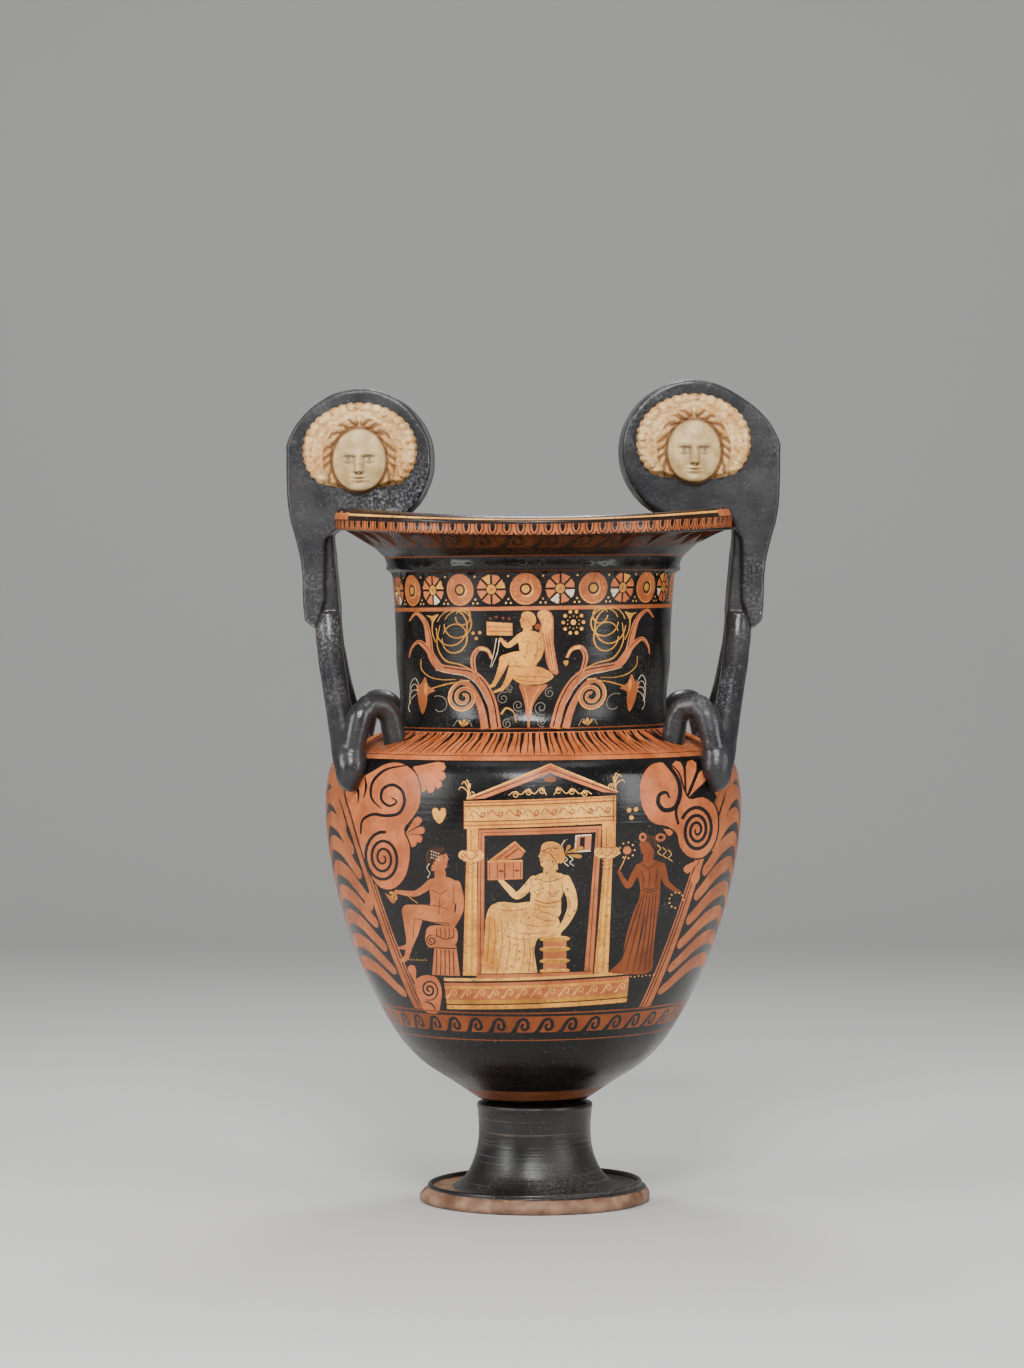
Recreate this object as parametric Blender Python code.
"""A volute krater: a tall clay mixing bowl with two volute handles that carry masks, on its own foot.

Units are metres, +Z is up, the painted front looks towards -Y and the handles stand at +X and -X.
The origin lies on the axis of the vessel, on the surface that the foot stands on.
"""
import math

import bmesh
import bpy
from mathutils import Matrix, Vector
from mathutils.geometry import delaunay_2d_cdt

# Foot
FOOT_HEIGHT = 0.0845
FOOT_RADIUS = 0.0985
FOOT_BASE_RADIUS = 0.0950
FOOT_EDGE_HEIGHT = 0.0168
FOOT_EDGE_WIDTH = 0.0100
FOOT_DISH_DEPTH = 0.0052
STEM_RADIUS = 0.0480
STEM_COLLAR_RADIUS = 0.0495
FOOT_WALL = 0.0090
FOOT_OFFSET = 0.0013
FOOT_LEAN = 0.0180
JOINT_GAP = 0.0003

# Body
TENON_RADIUS = 0.0440
TENON_HEIGHT = 0.0037
BODY_BASE_RADIUS = 0.0475
BELLY_RADIUS = 0.1773
BELLY_HEIGHT = 0.2485
SHOULDER_RADIUS = 0.1610
SHOULDER_HEIGHT = 0.0485
SHOULDER_RISE = 0.0200
WALL = 0.0075

# Neck and mouth
NECK_BASE_RADIUS = 0.1195
NECK_RADIUS = 0.1170
NECK_TOP_RADIUS = 0.1207
NECK_HEIGHT = 0.1310
COLLAR_RADIUS = 0.1262
COLLAR_HEIGHT = 0.0130
FLARE_HEIGHT = 0.0237
LIP_RADIUS = 0.1708
LIP_OVERHANG = 0.0188
LIP_UNDERCUT = 0.0030
LIP_HEIGHT = 0.0100
RIM_HEIGHT = 0.0087
RIM_WIDTH = 0.0100
MOUTH_SAG = 0.0070
RIM_SAG = 0.0030

# Handles
HANDLE_REACH = 0.2086
HANDLE_THICKNESS = 0.0520
FLANGE_WIDTH = 0.0205
FLANGE_THICKNESS = 0.0100
CHANNEL_DEPTH = 0.0060
WEB_DEPTH = 0.0095
STRAP_DROP = 0.0960
VOLUTE_RADIUS = 0.0600
VOLUTE_EDGE = 0.0035
VOLUTE_TOE_OUT = 0.0600
LEG_RADIUS = 0.0112
LEG_ROOT_RADIUS = 0.0135
LEG_SPREAD = 0.5700
LOOP_RADIUS = 0.0097
LOOP_RISE = 0.0300
LOOP_SPAN = 0.0370
LOOP_NECK_GAP = 0.0100

# How far in from the axis each volute's centre lies, and how far above the rim
RIGHT_VOLUTE = (0.1338, 0.0482)
LEFT_VOLUTE = (0.1452, 0.0405)

# Masks
MASK_WIDTH = 0.0965
MASK_HEIGHT = 0.0800
FACE_WIDTH = 0.0480
FACE_HEIGHT = 0.0560
FACE_DEPTH = 0.0150
HAIR_DEPTH = 0.0075
MASK_SINK = 0.0030
MASK_RISE = 0.0075
FACE_DROP = 0.0085
LOCKS = 13

# Fineness of the faceted forms
AROUND = 40
TUBE_SIDES = 8
FACE_CELLS = 14
BACK_FACE_CELLS = 8

# Levels that follow from the sizes above
BODY_Z = FOOT_HEIGHT + JOINT_GAP + TENON_HEIGHT
BELLY_Z = BODY_Z + BELLY_HEIGHT
SHOULDER_Z = BELLY_Z + SHOULDER_HEIGHT
NECK_Z = SHOULDER_Z + SHOULDER_RISE
COLLAR_Z = NECK_Z + NECK_HEIGHT
FLARE_Z = COLLAR_Z + COLLAR_HEIGHT
LIP_Z = FLARE_Z + FLARE_HEIGHT
RIM_Z = LIP_Z + LIP_HEIGHT
TOP_Z = RIM_Z + RIM_HEIGHT

# The swell of the body: how far out from base to belly, and how far up
BODY_SWELL = ((0.0, 0.0), (0.17, 0.061), (0.36, 0.126), (0.49, 0.195), (0.635, 0.316),
              (0.748, 0.436), (0.887, 0.640), (0.963, 0.810), (1.0, 1.0))

# The turn of the shoulder: how far in from belly to shoulder edge, and how far up
SHOULDER_TURN = ((0.08, 0.45), (0.36, 0.78), (1.0, 1.0))


def smooth_step(value, low, high):
    """Rise smoothly from 0 at low to 1 at high."""
    share = min(1.0, max(0.0, (value - low) / (high - low)))
    return share * share * (3.0 - 2.0 * share)


def bump(value, centre, width):
    """A soft hump of height 1 at centre."""
    return math.exp(-((value - centre) / width) ** 2)


def inset(points, distance, closed=False):
    """The outline moved inwards, to the left of its direction of travel, by the distance."""
    moved = []
    for index, (r, z) in enumerate(points):
        r0, z0 = points[index - 1 if closed or index else 0]
        r1, z1 = points[(index + 1) % len(points) if closed else min(index + 1, len(points) - 1)]
        length = math.hypot(r1 - r0, z1 - z0)
        moved.append((r - distance * (z1 - z0) / length, z + distance * (r1 - r0) / length))
    return moved


def body_points():
    """Stations up the outside of the body, from its base to the edge of the shoulder."""
    points = [(BODY_BASE_RADIUS + out * (BELLY_RADIUS - BODY_BASE_RADIUS), BODY_Z + up * BELLY_HEIGHT)
              for out, up in BODY_SWELL]
    points += [(BELLY_RADIUS + turn * (SHOULDER_RADIUS - BELLY_RADIUS), BELLY_Z + up * SHOULDER_HEIGHT)
               for turn, up in SHOULDER_TURN]
    return points


def neck_points():
    """Stations from the shoulder's edge to the top of the neck."""
    rise = SHOULDER_RADIUS - NECK_BASE_RADIUS
    return [(NECK_BASE_RADIUS + 0.60 * rise, SHOULDER_Z + 0.40 * SHOULDER_RISE),
            (NECK_BASE_RADIUS + 0.18 * rise, SHOULDER_Z + 0.76 * SHOULDER_RISE),
            (NECK_BASE_RADIUS, NECK_Z + 0.02 * NECK_HEIGHT),
            (NECK_RADIUS, NECK_Z + 0.45 * NECK_HEIGHT),
            (0.5 * (NECK_RADIUS + NECK_TOP_RADIUS), NECK_Z + 0.82 * NECK_HEIGHT),
            (NECK_TOP_RADIUS, COLLAR_Z)]


def mouth_points():
    """Stations up the collar, the flare, the underside of the lip, its face and the rim."""
    flare = LIP_RADIUS - LIP_OVERHANG - COLLAR_RADIUS
    return [(COLLAR_RADIUS - 0.0020, COLLAR_Z + 0.10 * COLLAR_HEIGHT),
            (COLLAR_RADIUS, COLLAR_Z + 0.45 * COLLAR_HEIGHT),
            (COLLAR_RADIUS, FLARE_Z),
            (COLLAR_RADIUS + 0.34 * flare, FLARE_Z + 0.33 * FLARE_HEIGHT),
            (COLLAR_RADIUS + 0.72 * flare, FLARE_Z + 0.68 * FLARE_HEIGHT),
            (LIP_RADIUS - LIP_OVERHANG, FLARE_Z + 0.90 * FLARE_HEIGHT),
            (LIP_RADIUS - LIP_UNDERCUT, LIP_Z),
            (LIP_RADIUS, RIM_Z),
            (LIP_RADIUS - 0.22 * RIM_WIDTH, RIM_Z + 0.62 * RIM_HEIGHT),
            (LIP_RADIUS - 0.62 * RIM_WIDTH, TOP_Z),
            (LIP_RADIUS - RIM_WIDTH, RIM_Z + 0.80 * RIM_HEIGHT)]


def inner_points():
    """Stations down the inside, a wall's thickness in from the outside, from the mouth to the axis."""
    flare = LIP_RADIUS - LIP_OVERHANG - COLLAR_RADIUS
    skin = body_points()[1:3] + body_points()[4:] + neck_points()[:2] + [
        (NECK_BASE_RADIUS, NECK_Z + 0.10 * NECK_HEIGHT), (NECK_RADIUS, NECK_Z + 0.45 * NECK_HEIGHT),
        (NECK_TOP_RADIUS, COLLAR_Z), (COLLAR_RADIUS + 0.10 * flare, FLARE_Z + 0.10 * FLARE_HEIGHT),
        (COLLAR_RADIUS + 0.60 * flare, FLARE_Z + 0.60 * FLARE_HEIGHT), (LIP_RADIUS - LIP_OVERHANG, LIP_Z)]
    inside = inset(skin, WALL)[::-1]
    return inside + [(0.45 * BODY_BASE_RADIUS, BODY_Z + WALL), (0.0, BODY_Z + 0.9 * WALL)]


def sag(x, y, z):
    """How far the mouth has sunk at the front and the back, where no handle holds it up."""
    across = y * y / max(x * x + y * y, 1e-12)
    depth = MOUTH_SAG * smooth_step(z, FLARE_Z, LIP_Z) + RIM_SAG * smooth_step(z, RIM_Z, TOP_Z)
    return depth * across


def skin_radius(z):
    """Radius of the outside of the body or neck at a height."""
    points = body_points() + neck_points()
    for (r0, z0), (r1, z1) in zip(points, points[1:]):
        if z0 <= z <= z1:
            return r0 + (r1 - r0) * (z - z0) / (z1 - z0)
    return points[-1][0]


def skin_height(radius):
    """Height of the sloping shoulder at a radius."""
    points = body_points()[-1:] + neck_points()[:3]
    for (r0, z0), (r1, z1) in zip(points, points[1:]):
        if r1 <= radius <= r0:
            return z0 + (z1 - z0) * (r0 - radius) / (r0 - r1)
    return points[0][1]


def mesh_object(name, vertices, faces):
    """A closed mesh object with its faces turned outwards."""
    mesh = bpy.data.meshes.new(name)
    mesh.from_pydata([tuple(v) for v in vertices], [], faces)
    work = bmesh.new()
    work.from_mesh(mesh)
    bmesh.ops.recalc_face_normals(work, faces=work.faces)
    work.to_mesh(mesh)
    work.free()
    result = bpy.data.objects.new(name, mesh)
    bpy.context.scene.collection.objects.link(result)
    return result


def revolve(name, profile, centre_x=0.0):
    """A solid of revolution from a profile that starts and ends on the axis."""
    vertices = [(centre_x, 0.0, profile[0][1])]
    for r, z in profile[1:-1]:
        for step in range(AROUND):
            angle = math.tau * step / AROUND
            vertices.append((centre_x + r * math.cos(angle), r * math.sin(angle), z))
    vertices.append((centre_x, 0.0, profile[-1][1]))
    rows = len(profile) - 2
    last = len(vertices) - 1
    faces = []
    for step in range(AROUND):
        after = (step + 1) % AROUND
        faces.append((0, 1 + step, 1 + after))
        for row in range(rows - 1):
            low = 1 + row * AROUND
            faces.append((low + step, low + AROUND + step, low + AROUND + after, low + after))
        low = 1 + (rows - 1) * AROUND
        faces.append((last, low + after, low + step))
    return mesh_object(name, vertices, faces)


def tube(name, path, radii):
    """A round bar along a path, with a radius at each point and closed ends."""
    points = [Vector(p) for p in path]
    vertices = []
    side = None
    for index, point in enumerate(points):
        ahead = (points[min(index + 1, len(points) - 1)] - points[max(index - 1, 0)]).normalized()
        side = ahead.cross(Vector((0.0, 0.0, 1.0)) if side is None else side.cross(ahead)).normalized()
        up = side.cross(ahead)
        for step in range(TUBE_SIDES):
            angle = math.tau * step / TUBE_SIDES
            vertices.append(point + radii[index] * (math.cos(angle) * side + math.sin(angle) * up))
    faces = [tuple(range(TUBE_SIDES)), tuple(range(len(vertices) - TUBE_SIDES, len(vertices)))]
    for index in range(len(points) - 1):
        for step in range(TUBE_SIDES):
            after = (step + 1) % TUBE_SIDES
            low = index * TUBE_SIDES
            faces.append((low + step, low + after, low + TUBE_SIDES + after, low + TUBE_SIDES + step))
    return mesh_object(name, vertices, faces)


def plate(name, outline, half, edge=0.0):
    """A plate in the XZ plane, centred on Y, with its rim's corners cut off by edge."""
    count = len(outline)
    rings = [(-half, edge), (-half + edge, 0.0), (half - edge, 0.0), (half, edge)]
    if edge == 0.0:
        rings = [(-half, 0.0), (half, 0.0)]
    vertices = [(x, y, z) for y, inwards in rings for x, z in inset(outline, inwards, closed=True)]
    faces = [tuple(range(count)), tuple(range(len(vertices) - count, len(vertices)))]
    for ring in range(len(rings) - 1):
        for step in range(count):
            after = (step + 1) % count
            low = ring * count
            faces.append((low + step, low + after, low + count + after, low + count + step))
    return mesh_object(name, vertices, faces)


def combine(base, others, operation="UNION"):
    """Add the other solids to the base, or cut them from it, and remove them."""
    for other in others:
        modifier = base.modifiers.new("combine", "BOOLEAN")
        modifier.operation = operation
        modifier.solver = "EXACT"
        modifier.object = other
    graph = bpy.context.evaluated_depsgraph_get()
    mesh = bpy.data.meshes.new_from_object(base.evaluated_get(graph))
    base.modifiers.clear()
    base.data = mesh
    for other in others:
        bpy.data.objects.remove(other)
    return base


def toe_out(solid):
    """Turn a volute's solid about the strap, so that its front looks a little outwards."""
    pivot = Matrix.Translation((HANDLE_REACH - FLANGE_WIDTH, 0.0, 0.0))
    solid.data.transform(pivot @ Matrix.Rotation(VOLUTE_TOE_OUT, 4, "Z") @ pivot.inverted())
    return solid


def to_side(solid, sign):
    """Mirror the solid to the left where sign is -1."""
    if sign < 0:
        solid.data.transform(Matrix.Scale(-1.0, 4, (1.0, 0.0, 0.0)))
        solid.data.flip_normals()
    return solid


def strap_edge(centre_x, centre_z):
    """The outer edge of a handle, from the foot of its flange up over the volute to its inner end."""
    start = math.radians(-15.0)
    stop = math.radians(60.0)
    full = (HANDLE_REACH - centre_x) / math.cos(start)
    low = LIP_Z - STRAP_DROP + 0.0185
    edge = [(HANDLE_REACH - 0.0160, low), (HANDLE_REACH - 0.0143, low + 0.0170),
            (HANDLE_REACH - 0.0128, low + 0.0500), (HANDLE_REACH - 0.0083, low + 0.0690),
            (HANDLE_REACH - 0.0036, low + 0.0860)]
    steps = 6
    for step in range(steps):
        angle = start + (stop - start) * step / steps
        radius = full + (VOLUTE_RADIUS - full) * smooth_step(angle, start, stop)
        radius = min(radius, (HANDLE_REACH - centre_x) / math.cos(angle))
        edge.append((centre_x + radius * math.cos(angle), centre_z + radius * math.sin(angle)))
    return edge


def volute_plate(centre_x, centre_z):
    """The disc of the volute and the flanged strap below it, cut as one plate."""
    edge = strap_edge(centre_x, centre_z)
    start = math.radians(60.0)
    over_lip = (LIP_RADIUS - 0.8 * RIM_WIDTH - centre_x) / VOLUTE_RADIUS
    stop = math.tau - math.acos(min(1.0, max(-1.0, over_lip)))
    steps = 20
    disc = []
    for step in range(steps + 1):
        angle = start + (stop - start) * step / steps
        disc.append((centre_x + VOLUTE_RADIUS * math.cos(angle),
                     centre_z + VOLUTE_RADIUS * math.sin(angle)))
    inner = HANDLE_REACH - FLANGE_WIDTH
    below = [(inner - 0.0130, LIP_Z - 0.0080), (inner - 0.0125, LIP_Z - 0.0600),
             (inner - 0.0045, LIP_Z - STRAP_DROP + 0.0110)]
    return plate("volute", edge + disc + below, 0.5 * HANDLE_THICKNESS, VOLUTE_EDGE)


def channel_cutter(centre_x, centre_z):
    """The channel between the flanges, sunk into the outer edge of the strap and the volute."""
    edge = strap_edge(centre_x, centre_z)
    for degrees in (60.0, 80.0, 100.0, 120.0):
        angle = math.radians(degrees)
        edge.append((centre_x + VOLUTE_RADIUS * math.cos(angle),
                     centre_z + VOLUTE_RADIUS * math.sin(angle)))
    edge.insert(0, (edge[0][0], edge[0][1] - 2.0 * LEG_RADIUS))
    outline = inset(edge, -2.0 * CHANNEL_DEPTH) + inset(edge, CHANNEL_DEPTH)[::-1]
    return plate("channel", outline, 0.5 * HANDLE_THICKNESS - FLANGE_THICKNESS)


def web():
    """The narrower rib on the inner side of the strap, from the legs up to the lip."""
    inner = HANDLE_REACH - FLANGE_WIDTH - 0.0120
    low = LIP_Z - STRAP_DROP
    outline = [(inner + 0.0040, low), (inner + 0.0060, low + 0.0300), (inner + 0.0080, LIP_Z + 0.0030),
               (inner - WEB_DEPTH + 0.0040, LIP_Z + 0.0030), (inner - WEB_DEPTH + 0.0020, LIP_Z - 0.0200),
               (inner - WEB_DEPTH - 0.0020, low + 0.0300), (inner - WEB_DEPTH - 0.0020, low)]
    return plate("web", outline, 0.30 * HANDLE_THICKNESS)


def on_shoulder(radius, z):
    """How far out a bar of this radius lies when it is sunk part of the way into the wall."""
    return skin_radius(z) + radius - 0.65 * WALL


def leg(front):
    """One leg of the fork that carries the strap, rooted on the shoulder."""
    across = math.sin(LEG_SPREAD)
    along = math.cos(LEG_SPREAD)
    root_z = SHOULDER_Z - 0.0120
    root_r = on_shoulder(LEG_ROOT_RADIUS, root_z)
    top = Vector((HANDLE_REACH - 0.0345, 0.0150, LIP_Z - STRAP_DROP + 0.0080))
    root = Vector((root_r * along, root_r * across, root_z))
    path = [Vector((top.x + 0.0010, 0.0110, top.z + 0.0150)), top]
    radii = [LEG_RADIUS, LEG_RADIUS]
    for share in (0.25, 0.50, 0.75, 1.0):
        path.append(Vector((top.x + (root.x - top.x) * share ** 1.25,
                            top.y + (root.y - top.y) * share ** 1.15,
                            top.z + (root.z - top.z) * share)))
        radii.append(LEG_RADIUS + (LEG_ROOT_RADIUS - LEG_RADIUS) * smooth_step(share, 0.5, 1.0))
    for drop, radius in ((0.0100, 0.80 * LEG_ROOT_RADIUS), (0.0180, 0.35 * LEG_ROOT_RADIUS)):
        out = on_shoulder(radius, root_z - drop)
        path.append(Vector((out * along, out * across, root_z - drop)))
        radii.append(radius)
    return tube("leg", [(x, front * y, z) for x, y, z in path], radii)


def loop(front):
    """A swan's neck that springs from the shoulder beside the neck and bends down to the leg's root."""
    across = math.sin(LEG_SPREAD)
    along = math.cos(LEG_SPREAD)
    root_r = NECK_BASE_RADIUS + LOOP_RADIUS + LOOP_NECK_GAP
    root_z = skin_height(root_r)
    tilt = math.atan2(SHOULDER_RISE, SHOULDER_RADIUS - NECK_BASE_RADIUS)
    end_r = root_r + LOOP_SPAN
    crest_z = root_z + LOOP_RISE
    route = [(root_r - 0.55 * WALL * math.sin(tilt), root_z - 0.55 * WALL * math.cos(tilt)),
             (root_r + 0.0008, root_z + 0.30 * LOOP_RISE),
             (root_r + 0.10 * LOOP_SPAN, root_z + 0.70 * LOOP_RISE),
             (root_r + 0.30 * LOOP_SPAN, crest_z - 0.06 * LOOP_RISE), (root_r + 0.50 * LOOP_SPAN, crest_z),
             (root_r + 0.76 * LOOP_SPAN, crest_z - 0.16 * LOOP_RISE),
             (end_r - 0.0020, crest_z - 0.52 * LOOP_RISE), (end_r + 0.0010, crest_z - 0.95 * LOOP_RISE),
             (end_r, crest_z - 1.45 * LOOP_RISE), (end_r - 0.0020, crest_z - 1.85 * LOOP_RISE)]
    radii = [LOOP_RADIUS * share for share in (1.05, 1.0, 1.0, 1.0, 1.0, 1.03, 1.10, 1.05, 0.75, 0.50)]
    return tube("loop", [(r * along, front * r * across, z) for r, z in route], radii)


def face_relief(a, b):
    """Height of a calm, even face as a share of its depth; a runs across and b up, from -1 to 1."""
    side = abs(a)
    height = 0.62 * math.sqrt(max(0.0, 1.0 - a * a - 0.92 * b * b))
    height += 0.16 * bump(b, 0.20, 0.08) * bump(side, 0.36, 0.26)
    height -= 0.24 * bump(side, 0.38, 0.19) * bump(b, 0.02, 0.12)
    height += 0.15 * bump(side, 0.38, 0.13) * bump(b, 0.0, 0.07)
    down = min(1.0, max(0.0, (0.16 - b) / 0.49))
    ridge = (0.12 + 0.38 * down) * bump(a, 0.0, 0.09 + 0.08 * down)
    height += ridge * smooth_step(b, -0.42, -0.31) * (1.0 - smooth_step(b, 0.14, 0.36))
    height += 0.13 * bump(a, 0.0, 0.26) * (bump(b, -0.50, 0.05) + bump(b, -0.62, 0.06))
    height -= 0.12 * bump(b, -0.56, 0.03) * bump(a, 0.0, 0.24)
    height += 0.12 * bump(a, 0.0, 0.26) * bump(b, -0.84, 0.12)
    height += 0.06 * bump(side, 0.52, 0.24) * bump(b, -0.26, 0.24)
    return height


def mask_points(cells):
    """Places and heights of a mask's points, ring by ring through the locks and then across the face."""
    around = 2 * LOCKS
    heights = ((0.42, 0.34), (1.30, 0.92), (0.98, 1.34), (0.78, 0.66))
    full_width = 0.5 * (MASK_WIDTH - FACE_WIDTH)
    points = []
    for ring, levels in enumerate(heights):
        inwards = ring / (len(heights) - 1)
        for step in range(around):
            angle = math.tau * step / around
            scallop = 1.0 - 0.035 * (step % 2) * (ring == 0)
            half_x = 0.5 * (MASK_WIDTH * scallop + inwards * (FACE_WIDTH - MASK_WIDTH))
            half_z = 0.5 * (MASK_HEIGHT * scallop + inwards * (FACE_HEIGHT - MASK_HEIGHT))
            width = math.hypot(full_width * math.cos(angle),
                               0.5 * (MASK_HEIGHT - FACE_HEIGHT) * math.sin(angle) + FACE_DROP)
            fullness = 0.5 + (levels[step % 2] - 0.5) * smooth_step(width, 0.0, full_width)
            points.append((half_x * math.cos(angle), half_z * math.sin(angle) - inwards * FACE_DROP,
                           HAIR_DEPTH * fullness))
    pitch = FACE_WIDTH / cells
    for row in range(-cells, cells + 1):
        for column in range(-cells, cells + 1):
            a = 2.0 * pitch * column / FACE_WIDTH
            b = 2.0 * pitch * row / FACE_HEIGHT
            if math.hypot(a, b) < 1.0 - 0.6 / cells:
                points.append((pitch * column, pitch * row - FACE_DROP,
                               FACE_DEPTH * face_relief(a, b) + 0.35 * HAIR_DEPTH))
    return points


def mask(centre_x, centre_z, front):
    """A mask in relief on one side of a volute: a face framed by curled locks."""
    points = mask_points(FACE_CELLS if front > 0 else BACK_FACE_CELLS)
    ring = list(range(2 * LOCKS))
    flat = [Vector((x, z)) for x, z, _ in points]
    _, _, triangles, sources, *_ = delaunay_2d_cdt(flat, [], [ring], 1, 1e-7)
    shelf = 0.5 * HANDLE_THICKNESS
    vertices = [(centre_x + x, -shelf - height, centre_z + z) for x, z, height in points]
    back = len(vertices)
    vertices += [(centre_x + x, MASK_SINK - shelf, centre_z + z) for x, z, _ in points[:len(ring)]]
    faces = [tuple(sources[corner][0] for corner in face) for face in triangles]
    faces.append(tuple(back + step for step in ring))
    for step in ring:
        after = (step + 1) % len(ring)
        faces.append((step, after, back + after, back + step))
    if front < 0:
        vertices = [(x, -y, z) for x, y, z in vertices]
    return mesh_object("mask", vertices, faces)


def handle(sign, volute):
    """The solids of one handle: volute, strap, fork, swan-neck loops and two masks."""
    centre_x = volute[0]
    centre_z = TOP_Z + volute[1]
    head = volute_plate(centre_x, centre_z)
    combine(head, [channel_cutter(centre_x, centre_z)], "DIFFERENCE")
    solids = [toe_out(head), toe_out(web())]
    for front in (1, -1):
        solids += [leg(front), loop(front), toe_out(mask(centre_x, centre_z + MASK_RISE, front))]
    return [to_side(solid, sign) for solid in solids]


def vessel():
    """The hollow wall of the krater with its two handles, fired as one."""
    tenon_z = FOOT_HEIGHT + JOINT_GAP
    outside = [(0.0, tenon_z), (TENON_RADIUS, tenon_z), (TENON_RADIUS, BODY_Z)]
    profile = outside + body_points() + neck_points() + mouth_points() + inner_points()
    wall = revolve("vessel", profile)
    for vertex in wall.data.vertices:
        vertex.co.z -= sag(*vertex.co)
    return combine(wall, handle(1, RIGHT_VOLUTE) + handle(-1, LEFT_VOLUTE))


def foot():
    """The hollow foot: a stem with a collar on a dished disc, its underside open."""
    floor_z = FOOT_EDGE_HEIGHT - FOOT_DISH_DEPTH
    edge_r = FOOT_RADIUS - FOOT_EDGE_WIDTH
    stem = FOOT_HEIGHT - floor_z
    outside = [(0.0, FOOT_HEIGHT), (STEM_COLLAR_RADIUS - 0.0020, FOOT_HEIGHT),
               (STEM_COLLAR_RADIUS, FOOT_HEIGHT - 0.0025), (STEM_RADIUS, FOOT_HEIGHT - 0.24 * stem),
               (STEM_RADIUS + 0.0004, FOOT_HEIGHT - 0.46 * stem),
               (STEM_RADIUS + 0.0050, FOOT_HEIGHT - 0.70 * stem),
               (STEM_RADIUS + 0.0094, FOOT_HEIGHT - 0.82 * stem),
               (STEM_RADIUS + 0.0190, FOOT_HEIGHT - 0.95 * stem),
               (edge_r - 0.0030, floor_z), (edge_r, FOOT_EDGE_HEIGHT),
               (edge_r + 0.25 * FOOT_EDGE_WIDTH, FOOT_EDGE_HEIGHT - 0.0004),
               (edge_r + 0.35 * FOOT_EDGE_WIDTH, FOOT_EDGE_HEIGHT - 0.0040),
               (FOOT_RADIUS, 0.30 * FOOT_EDGE_HEIGHT), (FOOT_BASE_RADIUS, 0.0)]
    hollow = [(FOOT_BASE_RADIUS - FOOT_WALL, 0.0), (STEM_RADIUS + 0.0090, floor_z - 0.35 * FOOT_WALL),
              (STEM_RADIUS - 0.5 * FOOT_WALL, floor_z + 0.20 * stem),
              (STEM_RADIUS - FOOT_WALL, floor_z + 0.45 * stem),
              (STEM_RADIUS - 1.8 * FOOT_WALL, FOOT_HEIGHT - FOOT_WALL), (0.0, FOOT_HEIGHT - FOOT_WALL)]
    solid = revolve("foot", outside + hollow, FOOT_OFFSET)
    for vertex in solid.data.vertices:
        x, y, z = vertex.co
        raised = smooth_step(z, 0.0, 0.7 * FOOT_EDGE_HEIGHT)
        raised -= smooth_step(z, FOOT_EDGE_HEIGHT, 0.5 * FOOT_HEIGHT)
        vertex.co.z += FOOT_LEAN * (x - FOOT_OFFSET) * raised
    return solid


def clay(name, colour, roughness):
    """A plain clay surface with its colour and gloss."""
    material = bpy.data.materials.new(name)
    material.use_nodes = True
    shader = material.node_tree.nodes["Principled BSDF"]
    shader.inputs["Base Color"].default_value = (*colour, 1.0)
    shader.inputs["Roughness"].default_value = roughness
    shader.inputs["Metallic"].default_value = 0.0
    return material


def finish(solid, material):
    """Give the solid its clay and round shading with crisp arrises."""
    solid.data.materials.clear()
    solid.data.materials.append(material)
    solid.data.shade_smooth()
    solid.data.set_sharp_from_angle(angle=math.radians(60.0))


for existing in list(bpy.data.objects):
    bpy.data.objects.remove(existing)

finish(vessel(), clay("glazed clay", (0.030, 0.027, 0.026), 0.38))
finish(foot(), clay("worn glazed clay", (0.050, 0.043, 0.038), 0.45))
